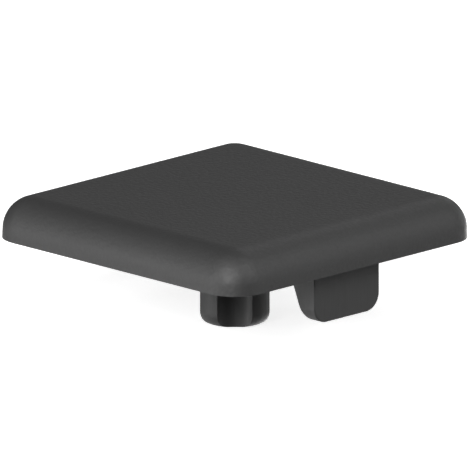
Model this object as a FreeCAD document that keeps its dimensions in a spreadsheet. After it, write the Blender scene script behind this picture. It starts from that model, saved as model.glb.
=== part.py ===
import FreeCAD, Part
import math
import os
import Sketcher
from FreeCAD import Placement, Rotation, Vector

# End cap for a square slotted profile, moulded in one piece from black plastic.
# The underside, which lands on the sawn end of the profile, lies in the plane Z = 0.
# The cover stands above that plane. The core pin and the two slot tabs hang below it,
# the pin on the Z axis and a tab just inside each of the two edges that face +X and -X.

# name, value and meaning; lengths are in millimetres and angles in degrees
SIZES = (
    ("cap_side", 30.0, "side of the square cover at its underside"),
    ("cap_thickness", 3.65, "height of the cover above the end of the profile"),
    ("corner_radius", 3.0, "plan radius of the four corners"),
    ("top_rounding", 2.9, "rounding from the side walls into the top face"),
    ("wall_draft", 1.5, "lean of the side walls, for release from the mould"),
    ("pin_diameter", 6.7, "core pin across its lobes, for the core bore of the profile"),
    ("pin_length", 7.47, "reach of the core pin below the cover"),
    ("pin_rounding", 1.3, "rounding round the tip of the core pin"),
    ("flute_radius", 1.72, "radius of each hollow flute along the core pin"),
    ("flute_web", 2.1, "distance from the axis of the pin to the floor of a flute"),
    ("tab_inset", 1.4, "distance from the edge of the cover to the outer face of a tab"),
    ("tab_width", 7.9, "width of a tab, for the mouth of a slot"),
    ("tab_root", 3.2, "thickness of a tab where it leaves the cover"),
    ("tab_tip", 1.35, "thickness of a tab at its tip, before its edges are rounded"),
    ("tab_length", 4.55, "reach of a tab below the cover"),
    ("tab_corner_radius", 1.5, "rounding of the two lower corners of a tab"),
    ("tab_edge_rounding", 0.12, "rounding along the edges of a tab"),
)

FLUTE_COUNT = 4
TAB_COUNT = 2
NEAR = 0.001


def make_sheet(doc):
    """The table of driving dimensions."""
    sheet = doc.addObject("Spreadsheet::Sheet", "Sizes")
    for row, (alias, value, meaning) in enumerate(SIZES, start=1):
        sheet.set("A%d" % row, alias)
        sheet.set("B%d" % row, str(value))
        sheet.set("C%d" % row, meaning)
        sheet.setAlias("B%d" % row, alias)
    doc.recompute()
    return sheet


def origin_feature(body, role):
    """One of the base planes or axes of the body, by its role."""
    for feature in body.Origin.OriginFeatures:
        if feature.Role == role:
            return feature
    raise RuntimeError("the body has no " + role)


def new_sketch(body, name, role):
    """An empty sketch on one of the base planes of the body."""
    sketch = body.newObject("Sketcher::SketchObject", name)
    sketch.AttachmentSupport = [(origin_feature(body, role), "")]
    sketch.MapMode = "FlatFace"
    return sketch


def draw_loop(sketch, points):
    """Straight lines from point to point and back to the first, joined end to end."""
    count = len(points)
    for i in range(count):
        sketch.addGeometry(Part.LineSegment(points[i], points[(i + 1) % count]), False)
    for i in range(count):
        sketch.addConstraint(Sketcher.Constraint("Coincident", i, 2, (i + 1) % count, 1))


def drive(sketch, kind, places, value, expression):
    """A dimension of the sketch that follows the table."""
    number = sketch.addConstraint(Sketcher.Constraint(kind, *places, value))
    sketch.setExpression("Constraints[%d]" % number, expression)


def new_pad(body, name, sketch, length):
    """The sketch drawn out into a solid."""
    pad = body.newObject("PartDesign::Pad", name)
    pad.Profile = sketch
    pad.setExpression("Length", length)
    return pad


def repeat_round_axis(doc, body, name, feature, count):
    """The feature repeated evenly round the Z axis."""
    pattern = body.newObject("PartDesign::PolarPattern", name)
    pattern.Originals = [feature]
    pattern.Axis = (origin_feature(body, "Z_Axis"), [""])
    pattern.Angle = 360
    pattern.Occurrences = count
    body.Tip = pattern
    doc.recompute()
    return pattern


def round_edges(doc, body, name, base, wanted, radius):
    """A rounding on every edge whose middle point and run pass the test."""
    names = []
    for number, edge in enumerate(base.Shape.Edges, start=1):
        middle = edge.valueAt((edge.FirstParameter + edge.LastParameter) / 2)
        run = edge.Vertexes[-1].Point - edge.Vertexes[0].Point
        if wanted(middle, run):
            names.append("Edge%d" % number)
    fillet = body.newObject("PartDesign::Fillet", name)
    fillet.Base = (base, names)
    fillet.setExpression("Radius", radius)
    doc.recompute()
    return fillet


def add_cover(doc, body, sizes):
    """The square cover, with leaning walls, round corners and a soft rounding into its top face."""
    half = sizes.cap_side / 2
    outline = new_sketch(body, "CoverOutline", "XY_Plane")
    draw_loop(outline, [Vector(-half, -half), Vector(half, -half), Vector(half, half), Vector(-half, half)])
    for side in (0, 2):
        outline.addConstraint(Sketcher.Constraint("Horizontal", side))
        outline.addConstraint(Sketcher.Constraint("Vertical", side + 1))
    outline.addConstraint(Sketcher.Constraint("Equal", 0, 1))
    outline.addConstraint(Sketcher.Constraint("Symmetric", 0, 1, 1, 2, -1, 1))
    drive(outline, "DistanceX", (0, 1, 0, 2), sizes.cap_side, "Sizes.cap_side")

    cover = new_pad(body, "Cover", outline, "Sizes.cap_thickness")
    cover.setExpression("TaperAngle", "-Sizes.wall_draft")
    doc.recompute()

    def is_upright(middle, run):
        return abs(run.z) > sizes.cap_thickness / 2

    def is_at_top(middle, run):
        return middle.z > sizes.cap_thickness - NEAR

    corners = round_edges(doc, body, "CoverCorners", cover, is_upright, "Sizes.corner_radius")
    rounding = "min(Sizes.top_rounding; Sizes.corner_radius - 0.05; Sizes.cap_thickness - 0.1)"
    return round_edges(doc, body, "CoverTopRounding", corners, is_at_top, rounding)


def add_tabs(doc, body, sizes):
    """The two slot tabs, with upright outer faces and inner faces that lean outwards to the tip."""
    outer = sizes.cap_side / 2 - sizes.tab_inset
    profile = new_sketch(body, "TabProfile", "XZ_Plane")
    draw_loop(profile, [
        Vector(outer, 0),
        Vector(outer, -sizes.tab_length),
        Vector(outer - sizes.tab_tip, -sizes.tab_length),
        Vector(outer - sizes.tab_root, 0),
    ])
    profile.addConstraint(Sketcher.Constraint("Vertical", 0))
    profile.addConstraint(Sketcher.Constraint("Horizontal", 1))
    profile.addConstraint(Sketcher.Constraint("Horizontal", 3))
    profile.addConstraint(Sketcher.Constraint("PointOnObject", 0, 1, -1))
    drive(profile, "DistanceX", (-1, 1, 0, 1), outer, "Sizes.cap_side / 2 - Sizes.tab_inset")
    drive(profile, "DistanceY", (0, 2, 0, 1), sizes.tab_length, "Sizes.tab_length")
    drive(profile, "DistanceX", (1, 2, 1, 1), sizes.tab_tip, "Sizes.tab_tip")
    drive(profile, "DistanceX", (3, 1, 3, 2), sizes.tab_root, "Sizes.tab_root")

    tab = new_pad(body, "Tab", profile, "Sizes.tab_width")
    tab.Midplane = True
    doc.recompute()
    tabs = repeat_round_axis(doc, body, "Tabs", tab, TAB_COUNT)

    def is_at_tip(middle, run):
        return middle.z < -sizes.tab_length + NEAR

    def is_tip_end(middle, run):
        return is_at_tip(middle, run) and abs(middle.y) > sizes.tab_width / 2 - NEAR

    corners = round_edges(doc, body, "TabCorners", tabs, is_tip_end, "Sizes.tab_corner_radius")
    rounding = "min(Sizes.tab_edge_rounding; Sizes.tab_tip / 2 - 0.05)"
    return round_edges(doc, body, "TabEdgeRounding", corners, is_at_tip, rounding)


def add_pin(doc, body, sizes):
    """The core pin: round, with a rounded tip and hollow flutes facing the corners of the cover."""
    outline = new_sketch(body, "PinOutline", "XY_Plane")
    outline.addGeometry(Part.Circle(Vector(0, 0), Vector(0, 0, 1), sizes.pin_diameter / 2), False)
    outline.addConstraint(Sketcher.Constraint("Coincident", 0, 3, -1, 1))
    drive(outline, "Diameter", (0,), sizes.pin_diameter, "Sizes.pin_diameter")

    pin = new_pad(body, "Pin", outline, "Sizes.pin_length")
    pin.Reversed = True
    doc.recompute()

    def is_at_tip(middle, run):
        return middle.z < -sizes.pin_length + NEAR

    rounding = "min(Sizes.pin_rounding; Sizes.pin_diameter / 2 - 0.1)"
    return round_edges(doc, body, "PinTipRounding", pin, is_at_tip, rounding)


def cut_flutes(doc, body, sizes, pin):
    """The flutes, cut from the cover down past the tip of the pin."""
    reach = (sizes.flute_web + sizes.flute_radius) / math.sqrt(2)
    outline = new_sketch(body, "FluteOutline", "XY_Plane")
    outline.addGeometry(Part.Circle(Vector(reach, reach), Vector(0, 0, 1), sizes.flute_radius), False)
    place = "(Sizes.flute_web + Sizes.flute_radius) / sqrt(2)"
    drive(outline, "Radius", (0,), sizes.flute_radius, "Sizes.flute_radius")
    drive(outline, "DistanceX", (-1, 1, 0, 3), reach, place)
    drive(outline, "DistanceY", (-1, 1, 0, 3), reach, place)
    doc.recompute()

    flute = body.newObject("PartDesign::Pocket", "Flute")
    flute.Profile = outline
    flute.Type = "ThroughAll"
    doc.recompute()
    flutes = repeat_round_axis(doc, body, "Flutes", flute, FLUTE_COUNT)

    removed = pin.Shape.Volume - flutes.Shape.Volume
    full_circles = FLUTE_COUNT * math.pi * sizes.flute_radius ** 2 * sizes.pin_length
    if not 0 < removed < full_circles:
        raise RuntimeError("the flutes cut the wrong side of the cover: %.1f mm3" % removed)
    return flutes


def check_document(doc, body):
    """Stops before anything is written if a feature or the solid failed."""
    for item in doc.Objects:
        if "Invalid" in item.State or "Error" in item.State:
            raise RuntimeError("%s failed: %s" % (item.Name, item.State))
    shape = body.Shape
    if shape.isNull() or not shape.isValid() or len(shape.Solids) != 1:
        raise RuntimeError("the end cap is not one valid solid")


def main():
    doc = FreeCAD.newDocument("ProfileEndCap")
    sizes = make_sheet(doc)
    body = doc.addObject("PartDesign::Body", "EndCap")
    body.Label = "end_cap"
    body.Placement = Placement(Vector(0, 0, 0), Rotation())
    add_cover(doc, body, sizes)
    add_tabs(doc, body, sizes)
    pin = add_pin(doc, body, sizes)
    cut_flutes(doc, body, sizes, pin)
    check_document(doc, body)

    os.makedirs("parts", exist_ok=True)
    body.Shape.exportStep("parts/%s.step" % body.Label)
    print("%s: %.1f mm3, %d faces" % (body.Label, body.Shape.Volume, len(body.Shape.Faces)))


main()
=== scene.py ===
import math

import bpy
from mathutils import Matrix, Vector


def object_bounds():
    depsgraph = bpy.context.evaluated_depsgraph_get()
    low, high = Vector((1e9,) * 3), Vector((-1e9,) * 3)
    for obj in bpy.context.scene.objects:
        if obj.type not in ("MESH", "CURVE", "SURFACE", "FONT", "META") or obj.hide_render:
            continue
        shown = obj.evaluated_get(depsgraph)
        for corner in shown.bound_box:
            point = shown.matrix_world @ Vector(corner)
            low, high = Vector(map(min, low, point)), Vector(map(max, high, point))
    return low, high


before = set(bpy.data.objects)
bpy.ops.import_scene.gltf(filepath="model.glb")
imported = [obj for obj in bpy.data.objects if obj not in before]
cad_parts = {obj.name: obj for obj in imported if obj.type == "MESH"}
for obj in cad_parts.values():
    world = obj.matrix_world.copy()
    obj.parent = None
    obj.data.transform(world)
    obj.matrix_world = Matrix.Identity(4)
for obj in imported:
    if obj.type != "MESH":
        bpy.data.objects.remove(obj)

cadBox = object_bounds()  # the box of the solid, before anything is added
print("frame loaded:", ", ".join(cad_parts))

mm = 0.001


def linear(hexColour):
    # sRGB hex to the linear values that a shader socket takes
    values = [int(hexColour[i:i + 2], 16) / 255 for i in (1, 3, 5)]
    return tuple(v / 12.92 if v <= 0.04045 else ((v + 0.055) / 1.055) ** 2.4 for v in values) + (1.0,)


# Mix and Math nodes repeat the names of their sockets, so these are picked by number.
colourMix = {"factor": 0, "from": 6, "to": 7, "result": 2}
numberMix = {"factor": 0, "from": 2, "to": 3, "result": 0}
mathInput = {"first": 0, "second": 1}


def addNode(tree, kind, settings=None, values=None, links=None):
    # one node, with its settings, the values of its sockets and what feeds them
    node = tree.nodes.new(kind)
    for name, value in (settings or {}).items():
        setattr(node, name, value)
    for socket, value in (values or {}).items():
        node.inputs[socket].default_value = value
    for socket, source in (links or {}).items():
        tree.links.new(source, node.inputs[socket])
    return node


def newMaterial(name, surface):
    # a material with only its shader, whose fixed values are given by socket name
    material = bpy.data.materials.new(name)
    material.use_nodes = True
    tree = material.node_tree
    tree.nodes.clear()
    shader = addNode(tree, "ShaderNodeBsdfPrincipled", values=surface)
    addNode(tree, "ShaderNodeOutputMaterial", links={"Surface": shader.outputs["BSDF"]})
    return material, shader


def towards(azimuth, elevation):
    # unit vector from the object; azimuth 0 is its front and 90 its right side
    a, e = math.radians(azimuth), math.radians(elevation)
    return Vector((math.sin(a) * math.cos(e), -math.cos(a) * math.cos(e), math.sin(e)))


# The photograph has no perspective, so the camera has none either.
cameraValues = {
    "azimuth": 45.0,        # degrees round from the front
    "elevation": 15.03,     # degrees above level
    "frameWidth": 40.323,   # mm of the object that fill the width of the picture
    "originRight": -0.015,  # mm from the middle of the picture to the middle of the underside
    "originUp": -0.140,     # mm, the same but upwards
    "distance": 500.0,      # mm
    "clipStart": 50.0,      # mm
    "clipEnd": 5000.0,      # mm
}


def addCamera(values):
    camera = bpy.data.objects.new("camera", bpy.data.cameras.new("camera"))
    bpy.context.scene.collection.objects.link(camera)
    camera.data.type = "ORTHO"
    camera.data.ortho_scale = values["frameWidth"] * mm
    away = towards(values["azimuth"], values["elevation"])
    turn = away.to_track_quat("Z", "Y")
    right, up = turn @ Vector((1, 0, 0)), turn @ Vector((0, 1, 0))
    camera.rotation_mode = "QUATERNION"
    camera.rotation_quaternion = turn
    place = away * values["distance"] - right * values["originRight"] - up * values["originUp"]
    camera.location = place * mm
    camera.data.clip_start = values["clipStart"] * mm
    camera.data.clip_end = values["clipEnd"] * mm
    bpy.context.scene.camera = camera


addCamera(cameraValues)
print("camera placed")


# ABS from a spark-eroded mould: a near-black grey with a broad soft sheen, which an even grain
# breaks up on the cover. The real grain is about 0.08 mm, under a pixel, so it is drawn coarser
# to show at all. The pin and the tabs come out of polished pockets, so the grain stops at the
# underside, and faint drawn lines run along them.
endCapValues = {
    "deepColour": "#2e2e2e",
    "paleColour": "#323232",
    "cloudSize": 6.0,         # mm across one patch of the slight colour variation
    "cloudDetail": 3.0,       # steps of finer patches within a patch
    "cloudRoughness": 0.6,    # how strong each finer step is
    "grainSize": 0.34,        # mm
    "grainDepth": 0.032,      # mm
    "lineSize": 0.25,         # mm from one drawn line to the next
    "lineLength": 4.0,        # mm
    "lineDepth": 0.0012,      # mm
    "linesBelow": -0.05,      # height in mm from the underside, below which lines replace the grain
    "smoothest": 0.54,        # roughness of the sheen at the bottom of the relief
    "roughest": 0.62,         # and at its top
    "ior": 1.53,
}


def blackMouldedAbs(values):
    material, shader = newMaterial("black moulded ABS", {"IOR": values["ior"]})
    tree = material.node_tree
    place = addNode(tree, "ShaderNodeTexCoord").outputs["Object"]

    # the pigment clouds a little from patch to patch
    cloud = addNode(tree, "ShaderNodeTexNoise", values={
        "Scale": 1 / (values["cloudSize"] * mm),
        "Detail": values["cloudDetail"],
        "Roughness": values["cloudRoughness"],
    }, links={"Vector": place})
    colour = addNode(tree, "ShaderNodeMix", settings={"data_type": "RGBA"}, values={
        colourMix["from"]: linear(values["deepColour"]),
        colourMix["to"]: linear(values["paleColour"]),
    }, links={colourMix["factor"]: cloud.outputs["Fac"]})
    tree.links.new(colour.outputs[colourMix["result"]], shader.inputs["Base Color"])

    # onCover is 1 on the cover and 0 on the pin and the tabs
    height = addNode(tree, "ShaderNodeSeparateXYZ", links={"Vector": place})
    onCover = addNode(tree, "ShaderNodeMath", settings={"operation": "GREATER_THAN"}, values={
        mathInput["second"]: values["linesBelow"] * mm,
    }, links={mathInput["first"]: height.outputs["Z"]}).outputs["Value"]

    # the relief is an even grain on the cover, and noise drawn out downwards on the pin and the tabs
    grain = addNode(tree, "ShaderNodeTexNoise", values={
        "Scale": 1 / (values["grainSize"] * mm),
    }, links={"Vector": place})
    drawnOut = addNode(tree, "ShaderNodeMapping", values={
        "Scale": (1, 1, values["lineSize"] / values["lineLength"]),
    }, links={"Vector": place})
    lines = addNode(tree, "ShaderNodeTexNoise", values={
        "Scale": 1 / (values["lineSize"] * mm),
    }, links={"Vector": drawnOut.outputs["Vector"]})
    relief = addNode(tree, "ShaderNodeMix", settings={"data_type": "FLOAT"}, links={
        numberMix["factor"]: onCover,
        numberMix["from"]: lines.outputs["Fac"],
        numberMix["to"]: grain.outputs["Fac"],
    }).outputs[numberMix["result"]]
    depth = addNode(tree, "ShaderNodeMix", settings={"data_type": "FLOAT"}, values={
        numberMix["from"]: values["lineDepth"] * mm,
        numberMix["to"]: values["grainDepth"] * mm,
    }, links={numberMix["factor"]: onCover}).outputs[numberMix["result"]]
    bump = addNode(tree, "ShaderNodeBump", links={"Height": relief, "Distance": depth})
    tree.links.new(bump.outputs["Normal"], shader.inputs["Normal"])

    lowRelief, highRelief = 0.3, 0.7  # most of the noise lies between these
    gloss = addNode(tree, "ShaderNodeMapRange", values={
        "From Min": lowRelief, "From Max": highRelief,
        "To Min": values["smoothest"], "To Max": values["roughest"],
    }, links={"Value": relief})
    tree.links.new(gloss.outputs["Result"], shader.inputs["Roughness"])
    return material


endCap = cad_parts["end_cap"]
endCap.data.materials.clear()
endCap.data.materials.append(blackMouldedAbs(endCapValues))
print("end cap finished in black moulded ABS")


# A light table: a matt white acrylic sheet, lit from beneath, that the cap stands on by the tip
# of its pin. Its glow leaves only a faint shadow. Only the camera sees it, so it throws no light
# on the cap and hides none of the low panels, which keeps the tabs as even as in the photograph.
floorValues = {
    "colour": "#f2f2f2",
    "glow": 0.85,     # light from beneath, which at 1 would show the colour above by itself
    "reach": 4000.0,  # mm from the middle to each edge
}


def mattWhiteAcrylic(values):
    return newMaterial("matt white acrylic", {
        "Base Color": linear(values["colour"]),
        "Roughness": 1.0,
        "Specular IOR Level": 0.0,
        "Emission Color": linear(values["colour"]),
        "Emission Strength": values["glow"],
    })[0]


def addFloor(values):
    reach, height = values["reach"] * mm, cadBox[0].z
    corners = [(x * reach, y * reach, height) for x, y in ((-1, -1), (1, -1), (1, 1), (-1, 1))]
    sheet = bpy.data.meshes.new("floor")
    sheet.from_pydata(corners, [], [(0, 1, 2, 3)])
    sheet.materials.append(mattWhiteAcrylic(values))
    floor = bpy.data.objects.new("floor", sheet)
    bpy.context.scene.collection.objects.link(floor)
    floor.visible_diffuse = floor.visible_glossy = floor.visible_shadow = False


addFloor(floorValues)
print("floor laid")


# Plain soft boxes round the object, all square and facing it. Azimuth and elevation are in
# degrees and the side is in mm; a face of brightness 1 looks as white as the picture's white.
lightValues = {
    "distance": 800.0,  # mm from the object to each panel
    "lampColour": "#ffffff",
    "wallColour": "#ffffff",
    "panels": {
        "key": {"azimuth": 25.0, "elevation": 28.0, "side": 300.0, "brightness": 21.0},
        "keyLow": {"azimuth": 25.0, "elevation": 4.0, "side": 300.0, "brightness": 3.5},
        "left": {"azimuth": -30.0, "elevation": 4.0, "side": 300.0, "brightness": 8.0},
        "leftUnder": {"azimuth": -30.0, "elevation": -22.0, "side": 300.0, "brightness": 4.0},
        "leftHigh": {"azimuth": -25.0, "elevation": 40.0, "side": 600.0, "brightness": 0.8},
        "rightHigh": {"azimuth": 110.0, "elevation": 40.0, "side": 600.0, "brightness": 3.0},
        "backRight": {"azimuth": 120.0, "elevation": 4.0, "side": 300.0, "brightness": 2.3},
        "back": {"azimuth": 180.0, "elevation": 4.0, "side": 300.0, "brightness": 2.5},
        "backHigh": {"azimuth": 205.0, "elevation": 28.0, "side": 300.0, "brightness": 2.0},
        "backUnder": {"azimuth": 205.0, "elevation": -22.0, "side": 300.0, "brightness": 12.0},
        "backLeft": {"azimuth": 230.0, "elevation": 4.0, "side": 300.0, "brightness": 0.4},
        "underBack": {"azimuth": 180.0, "elevation": -40.0, "side": 900.0, "brightness": 1.5},
        "underLeft": {"azimuth": -90.0, "elevation": -40.0, "side": 900.0, "brightness": 1.0},
    },
}


def addPanel(name, values, distance, colour):
    light = bpy.data.lights.new(name, "AREA")
    light.shape = "SQUARE"
    light.size = values["side"] * mm
    light.energy = values["brightness"] * math.pi * light.size ** 2
    light.color = linear(colour)[:3]
    panel = bpy.data.objects.new(name, light)
    bpy.context.scene.collection.objects.link(panel)
    away = towards(values["azimuth"], values["elevation"])
    panel.location = away * distance * mm
    panel.rotation_mode = "QUATERNION"
    panel.rotation_quaternion = away.to_track_quat("Z", "Y")
    panel.visible_camera = False


def addWalls(values):
    # the white walls are only seen: all the light on the object comes from the panels
    world = bpy.data.worlds.new("room")
    world.use_nodes = True
    tree = world.node_tree
    tree.nodes.clear()
    walls = addNode(tree, "ShaderNodeBackground", values={"Color": linear(values["wallColour"])})
    addNode(tree, "ShaderNodeOutputWorld", links={"Surface": walls.outputs["Background"]})
    world.cycles_visibility.diffuse = world.cycles_visibility.glossy = False
    bpy.context.scene.world = world


for panelName, panelValues in lightValues["panels"].items():
    addPanel(panelName, panelValues, lightValues["distance"], lightValues["lampColour"])
addWalls(lightValues)
bpy.context.scene.view_settings.view_transform = "Standard"
print("panels hung:", len(lightValues["panels"]))
